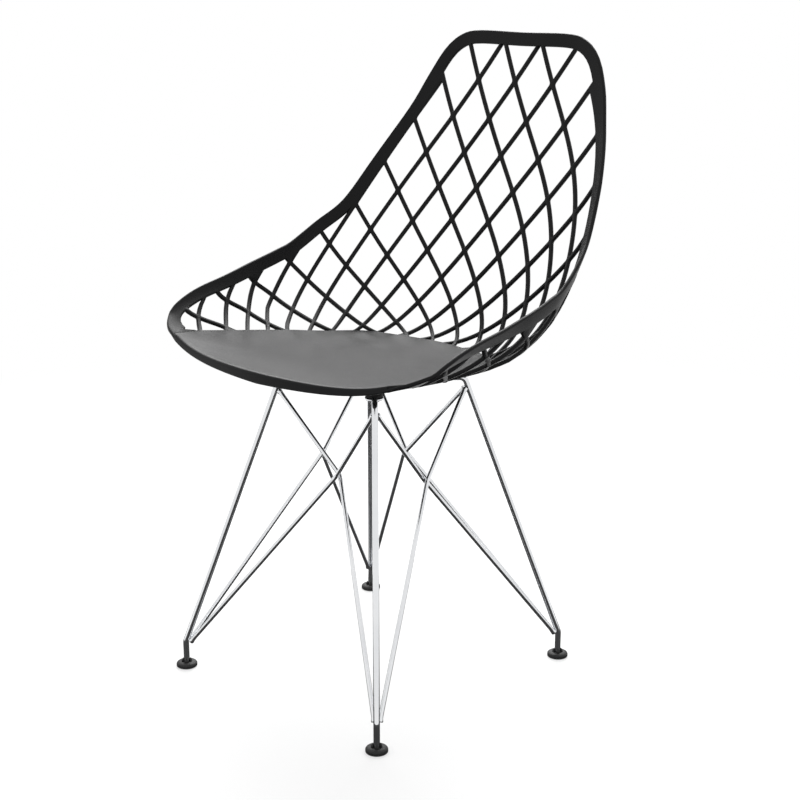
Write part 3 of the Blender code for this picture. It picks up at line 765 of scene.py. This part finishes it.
def add_boss(solid, x, y, top):
    """Moulded boss under the seat, flared where it joins it, with the insert's hole."""
    hole = INSERT_RADIUS + GAP
    profile = [
        (0, top), *((BOSS_RADIUS + out, top - down) for out, down in BOSS_FLARE),
        (BOSS_RADIUS, BOSS_BOTTOM + EDGE_ROUND), (BOSS_RADIUS - EDGE_ROUND, BOSS_BOTTOM),
        (hole, BOSS_BOTTOM), (hole, INSERT_TOP + GAP), (0, INSERT_TOP + GAP),
    ]
    lathe(solid, profile, Vector((x, y, 0)))


def build_shell():
    sheet = shell_surface()
    tree = BVHTree.FromBMesh(sheet)
    mounts = [(x * MOUNT_X, y * MOUNT_Y) for x, y in CORNERS.values()]
    seats = [tree.ray_cast(Vector((x, y, BACK_HEIGHT)), Vector((0, 0, -1))) for x, y in mounts]
    if seats[0][1].z < 0:
        bmesh.ops.reverse_faces(sheet, faces=sheet.faces)
    solid = thicken(sheet, SHELL_THICKNESS / 2)
    sheet.free()
    for (x, y), (hit, *_) in zip(mounts, seats):
        add_boss(solid, x, y, hit.z)
    bmesh.ops.translate(solid, verts=solid.verts, vec=(0, BASE_Y, PLATE_TOP))
    mesh = smooth_mesh("lattice_shell", solid)
    add_piece("lattice_shell", mesh, "black_plastic", "chair", ["shell"])


# Wire base

def rounded_path(corners, radii):
    """Points along a bent wire: its ends, and an arc at each bend."""
    path = [corners[0]]
    for before, bend, after, radius in zip(corners, corners[1:], corners[2:], radii):
        back = (before - bend).normalized()
        ahead = (after - bend).normalized()
        half = back.angle(ahead) / 2
        centre = bend + (back + ahead).normalized() * radius / math.sin(half)
        start = bend + back * radius / math.tan(half) - centre
        end = bend + ahead * radius / math.tan(half) - centre
        for step in range(BEND_STEPS + 1):
            spoke = start.lerp(end, step / BEND_STEPS)
            path.append(centre + spoke.normalized() * radius)
    return path + [corners[-1]]


def add_wire(name, path, sizes, diameter):
    curve = bpy.data.curves.new(name, "CURVE")
    curve.dimensions = "3D"
    curve.bevel_depth = diameter / 2
    curve.bevel_resolution = WIRE_RESOLUTION
    curve.use_fill_caps = True
    spline = curve.splines.new("POLY")
    spline.points.add(len(path) - 1)
    spline.use_smooth = True
    for target, point, size in zip(spline.points, path, sizes):
        target.co = (point.x, point.y + BASE_Y, point.z, 1.0)
        target.radius = size
    add_piece(f"{name}_wire", curve, "chrome_wire", "chair", [name])


def leg_corners(sign):
    """Foot, kink, top bend and inner end of a leg's axis."""
    foot = Vector((sign[0] * FOOT_X, sign[1] * FOOT_Y, GLIDE_FLOOR + GAP))
    kink = Vector((foot.x, foot.y, KINK_HEIGHT))
    bend = Vector((sign[0] * BEND_X, sign[1] * BEND_Y, BEND_HEIGHT))
    mount = Vector((sign[0] * MOUNT_X, sign[1] * MOUNT_Y, BEND_HEIGHT))
    end = mount + (bend - mount).normalized() * (PLATE_RADIUS - WELD_DEPTH)
    return [foot, kink, bend, end]


def build_leg(name, sign):
    path = rounded_path(leg_corners(sign), (KINK_RADIUS, BEND_RADIUS))
    add_wire(f"leg_{name}", path, [1.0] * len(path), LEG_DIAMETER)


def beside_leg(sign, height, target):
    """End of a brace's axis, set against a leg at a height and aimed at a target."""
    _, kink, bend, _ = leg_corners(sign)
    axis = (bend - kink).normalized()
    on_leg = kink + axis * (height - kink.z) / axis.z
    aim = (target - on_leg).normalized()
    outward = (aim - axis * aim.dot(axis)).normalized()
    rim = BRACE_DIAMETER / 2 * math.sqrt(1 - aim.dot(outward) ** 2)
    return on_leg + outward * (LEG_DIAMETER / 2 + GAP + rim)


def brace_corners(foot_sign, top_sign, side_normal, crossing):
    foot = beside_leg(foot_sign, BRACE_FOOT_HEIGHT, crossing)
    top = beside_leg(top_sign, BEND_HEIGHT - BRACE_TOP_DROP, crossing)
    slants = [(crossing - foot), (top - crossing)]
    spread = max(math.hypot(slant.dot(side_normal), slant.z) / slant.z for slant in slants)
    return foot, top, spread * (BRACE_DIAMETER + GAP) / 2


def welded_end(end, following):
    """Points of a brace's end, sunk into the leg, with the swelling of its weld."""
    along = (following - end).normalized()
    start = end - along * WELD_DEPTH
    return [(start + along * distance, size) for distance, size in WELD]


def build_braces(side):
    """Two braces of one side of the base, lapped where they cross."""
    signs = [CORNERS[name] for name in SIDES[side]]
    normal = Vector(((signs[0][0] + signs[1][0]) / 2, (signs[0][1] + signs[1][1]) / 2, 0))
    middle = Vector((normal.x * SIDE_CROSSING_X, normal.y * FRONT_CROSSING_Y, CROSSING_HEIGHT))
    for lap, ends, label in ((1, signs, "outer"), (-1, signs[::-1], "inner")):
        foot, top, offset = brace_corners(*ends, normal, middle)
        path = rounded_path([foot, middle + normal * lap * offset, top], (BRACE_BEND_RADIUS,))
        run = welded_end(path[0], path[1])
        run += [(point, 1.0) for point in path[1:-1]]
        run += welded_end(path[-1], path[-2])[::-1]
        points, sizes = zip(*run)
        add_wire(f"brace_{side}_{label}", points, sizes, BRACE_DIAMETER)


# Glides

def add_prong(shape, place, turn, bottom):
    """Pointed prong that stands beside the stem."""
    inner = LEG_DIAMETER / 2 + GAP
    loops = []
    for height, spread, share in PRONG_LEVELS:
        loop = []
        outer = inner + PRONG_WALL * share
        for radius, sides in ((inner, PRONG_SIDES), (outer, PRONG_SIDES[::-1])):
            for side in sides:
                angle = turn + side * spread
                spoke = (radius * math.cos(angle), radius * math.sin(angle), bottom + height)
                loop.append(shape.verts.new(place + Vector(spoke)))
        loops.append(loop)
    for lower, upper in zip(loops, loops[1:]):
        bridge(shape, lower, upper)
    shape.faces.new(loops[0][::-1])
    shape.faces.new(loops[-1])


def build_glide(name, sign):
    """Domed glide with prongs round the stem."""
    bore = LEG_DIAMETER / 2 + GAP
    collar = bore + PRONG_WALL
    profile = [(0, GLIDE_FLOOR), (bore, GLIDE_FLOOR), (bore, GLIDE_DOME_HEIGHT - EDGE_ROUND),
               (bore + EDGE_ROUND, GLIDE_DOME_HEIGHT)]
    turns = [step / DOME_STEPS * math.pi / 2 for step in range(DOME_STEPS + 1)]
    rise = GLIDE_DOME_HEIGHT - GLIDE_EDGE_HEIGHT
    for turn in turns:
        profile.append((collar + (GLIDE_RADIUS - collar) * math.sin(turn),
                        GLIDE_EDGE_HEIGHT + rise * math.cos(turn)))
    for turn in turns:
        profile.append((GLIDE_RADIUS - GLIDE_CHAMFER * (1 - math.cos(turn)),
                        GLIDE_CHAMFER * (1 - math.sin(turn))))
    profile.append((0, 0))
    place = Vector((sign[0] * FOOT_X, sign[1] * FOOT_Y + BASE_Y, 0))
    shape = bmesh.new()
    lathe(shape, profile, place)
    for quarter in range(4):
        add_prong(shape, place, math.pi / 4 + quarter * math.pi / 2, GLIDE_DOME_HEIGHT)
    add_piece(f"domed_glide_{name}", smooth_mesh(f"domed_glide_{name}", shape), "glide_plastic",
              f"foot_{name}", [f"glide_{name}"])


# Seat mounts

def build_mount(name, sign):
    """Plate, rubber pad and washer of one mount."""
    place = Vector((sign[0] * MOUNT_X, sign[1] * MOUNT_Y + BASE_Y, PLATE_TOP))
    washer_top = -PLATE_THICKNESS - GAP
    washer_bottom = washer_top - WASHER_THICKNESS
    rings = (
        ("mount_plate", "chrome_wire", (PLATE_RADIUS, HOLE_RADIUS, 0, -PLATE_THICKNESS)),
        ("rubber_pad", "black_rubber", (BOSS_RADIUS, HOLE_RADIUS, GAP + PAD_THICKNESS, GAP)),
        ("washer", "zinc_steel", (WASHER_RADIUS, HOLE_RADIUS, washer_top, washer_bottom)),
    )
    for kind, slot, sizes in rings:
        shape = bmesh.new()
        lathe(shape, ring_profile(*sizes), place, closed=True)
        piece_name = f"{kind}_{name}_ring"
        add_piece(piece_name, smooth_mesh(piece_name, shape), slot, "chair", [f"{kind}_{name}"])


build_shell()
for corner_name, corner_sign in CORNERS.items():
    build_leg(corner_name, corner_sign)
    build_glide(corner_name, corner_sign)
    build_mount(corner_name, corner_sign)
for side_name in SIDES:
    build_braces(side_name)
for subpart in frame["record"]["subparts"]:
    node = frame["nodes"][subpart["node"]]
    node.data.materials.clear()
    node.data.materials.append(LOOKS[subpart["material_slot"]])


# Studio

STAGE_ROUGHNESS = 0.9
FLOOR_SIZE = 90.0
FLOOR_COLOUR = (0.90, 0.90, 0.90, 1.0)
# Share of the floor's white that needs no light near the chair, and the distances from the
# chair over which it grows to all of it
FLOOR_LIFT = 0.5
FLOOR_WHITE = (0.7, 1.7)
# Dark card on the floor before the chair, seen in reflections only
FLAG_COLOUR = (0.02, 0.02, 0.02, 1.0)
FLAG_NEAR = -0.25
FLAG_FAR = 1.38
FLAG_HALF_WIDTH = 0.55
FLAG_HEIGHT = 0.002
SOFTBOX_PLACE = (-1.22, 1.42, 2.2)
SOFTBOX_TARGET = (0.0, 0.0, 0.4)
SOFTBOX_SIZE = 2.2
SOFTBOX_POWER = 85.0
CAMERA_PLACE = (1.343, -1.419, 0.9315)
CAMERA_AZIMUTH = math.radians(42.36)
CAMERA_ELEVATION = math.radians(16.03)
CAMERA_LENS = 70.29
CAMERA_SENSOR = 36.0
# Brightness of the studio low and high, before the chair and behind it, and the heights of
# direction over which it grows
FRONT_LEVELS = (0.10, 0.76)
FRONT_HEIGHTS = (-0.02, 0.33)
BACK_LEVELS = (0.75, 1.15)
BACK_HEIGHTS = (0.10, 0.40)
# How far a direction points to the camera where the back of the studio ends and the front starts
FACING = (-0.25, 0.55)
TOWARDS_CAMERA = (math.sin(CAMERA_AZIMUTH), -math.cos(CAMERA_AZIMUTH), 0.0)


def add_camera():
    data = bpy.data.cameras.new("camera")
    data.lens = CAMERA_LENS
    data.sensor_width = CAMERA_SENSOR
    camera = bpy.data.objects.new("camera", data)
    bpy.context.scene.collection.objects.link(camera)
    level = math.cos(CAMERA_ELEVATION)
    back = Vector((math.sin(CAMERA_AZIMUTH) * level, -math.cos(CAMERA_AZIMUTH) * level,
                   math.sin(CAMERA_ELEVATION)))
    right = Vector((math.cos(CAMERA_AZIMUTH), math.sin(CAMERA_AZIMUTH), 0.0))
    turn = Matrix((right, back.cross(right), back)).transposed().to_4x4()
    place = Vector(CAMERA_PLACE) + Vector((0, BASE_Y, 0))
    camera.matrix_world = Matrix.Translation(place) @ turn
    bpy.context.scene.camera = camera


def math_node(nodes, links, operation, first, second):
    """Math on two sockets, held between 0 and 1."""
    node = nodes.new("ShaderNodeMath")
    node.operation = operation
    node.use_clamp = True
    links.new(first, node.inputs[0])
    links.new(second, node.inputs[1])
    return node.outputs["Value"]


def smooth_range(nodes, links, source, reach, levels):
    """Level that changes smoothly while the source passes through a reach.

    Each of the two levels is a socket or a number.
    """
    spread = nodes.new("ShaderNodeMapRange")
    spread.interpolation_type = "SMOOTHSTEP"
    spread.inputs["From Min"].default_value, spread.inputs["From Max"].default_value = reach
    for end, value in zip(("To Min", "To Max"), levels):
        if isinstance(value, bpy.types.NodeSocket):
            links.new(value, spread.inputs[end])
        else:
            spread.inputs[end].default_value = value
    links.new(source, spread.inputs["Value"])
    return spread.outputs["Result"]


def seen_directly(nodes, links):
    """One for rays from the camera, a mirror or a glass, and nought for other rays."""
    rays = nodes.new("ShaderNodeLightPath").outputs
    seen = math_node(nodes, links, "ADD", rays["Is Camera Ray"], rays["Is Glossy Ray"])
    return math_node(nodes, links, "ADD", seen, rays["Is Transmission Ray"])


def stage_piece(name, corners, surface):
    mesh = bpy.data.meshes.new(name)
    mesh.from_pydata(corners, [], [range(len(corners))])
    mesh.materials.append(surface)
    piece = bpy.data.objects.new(name, mesh)
    bpy.context.scene.collection.objects.link(piece)
    return piece


def add_floor():
    """White floor that keeps the chair's shadow and is pure white farther off."""
    surface, shader, nodes, links = node_material("white_floor")
    shader.inputs["Base Color"].default_value = FLOOR_COLOUR
    shader.inputs["Roughness"].default_value = STAGE_ROUGHNESS
    shader.inputs["Specular IOR Level"].default_value = 0.0
    place = nodes.new("ShaderNodeTexCoord")
    distance = nodes.new("ShaderNodeVectorMath")
    distance.operation = "LENGTH"
    links.new(place.outputs["Object"], distance.inputs[0])
    away = distance.outputs["Value"]
    whiteness = smooth_range(nodes, links, away, FLOOR_WHITE, (FLOOR_LIFT, 1.0))
    share = math_node(nodes, links, "MULTIPLY", whiteness, seen_directly(nodes, links))
    glow = nodes.new("ShaderNodeEmission")
    mix = nodes.new("ShaderNodeMixShader")
    links.new(share, mix.inputs["Fac"])
    links.new(shader.outputs["BSDF"], mix.inputs[1])
    links.new(glow.outputs["Emission"], mix.inputs[2])
    links.new(mix.outputs["Shader"], nodes["Material Output"].inputs["Surface"])
    half = FLOOR_SIZE / 2
    corners = [(-half, -half, 0), (half, -half, 0), (half, half, 0), (-half, half, 0)]
    stage_piece("floor", corners, surface)


def add_flag():
    """Dark card that gives the bright wires their dark cores."""
    surface, shader, _, _ = node_material("dark_flag")
    shader.inputs["Base Color"].default_value = FLAG_COLOUR
    shader.inputs["Roughness"].default_value = STAGE_ROUGHNESS
    ahead = Vector(TOWARDS_CAMERA)
    across = Vector((-ahead.y, ahead.x, 0.0))
    lift = Vector((0, 0, FLAG_HEIGHT))
    corners = [ahead * run + across * side * FLAG_HALF_WIDTH + lift
               for run, side in ((FLAG_NEAR, -1), (FLAG_FAR, -1), (FLAG_FAR, 1), (FLAG_NEAR, 1))]
    flag = stage_piece("dark_flag", corners, surface)
    flag.visible_camera = False
    flag.visible_diffuse = False
    flag.visible_shadow = False


def add_lamp(name, place, target, size, power):
    data = bpy.data.lights.new(name, "AREA")
    data.shape = "SQUARE"
    data.size = size
    data.energy = power
    lamp = bpy.data.objects.new(name, data)
    bpy.context.scene.collection.objects.link(lamp)
    lamp.location = place
    lamp.rotation_euler = (Vector(target) - Vector(place)).to_track_quat("-Z", "Y").to_euler()


def add_world():
    """White studio, darker low down and on the camera's side, and plain white where it is seen."""
    world = bpy.data.worlds.new("studio")
    world.use_nodes = True
    bpy.context.scene.world = world
    nodes = world.node_tree.nodes
    links = world.node_tree.links
    background = nodes["Background"]
    place = nodes.new("ShaderNodeTexCoord")
    facing = nodes.new("ShaderNodeVectorMath")
    facing.operation = "DOT_PRODUCT"
    facing.inputs[1].default_value = TOWARDS_CAMERA
    links.new(place.outputs["Generated"], facing.inputs[0])
    upward = nodes.new("ShaderNodeSeparateXYZ")
    links.new(place.outputs["Generated"], upward.inputs["Vector"])
    front = smooth_range(nodes, links, upward.outputs["Z"], FRONT_HEIGHTS, FRONT_LEVELS)
    back = smooth_range(nodes, links, upward.outputs["Z"], BACK_HEIGHTS, BACK_LEVELS)
    level = smooth_range(nodes, links, facing.outputs["Value"], FACING, (back, front))
    seen = seen_directly(nodes, links)
    strength = smooth_range(nodes, links, seen, (0.0, 1.0), (level, 1.0))
    links.new(strength, background.inputs["Strength"])
    background.inputs["Color"].default_value = (1.0, 1.0, 1.0, 1.0)


add_camera()
add_floor()
add_flag()
add_lamp("back_softbox", SOFTBOX_PLACE, SOFTBOX_TARGET, SOFTBOX_SIZE, SOFTBOX_POWER)
add_world()
bpy.context.scene.view_settings.view_transform = "Standard"
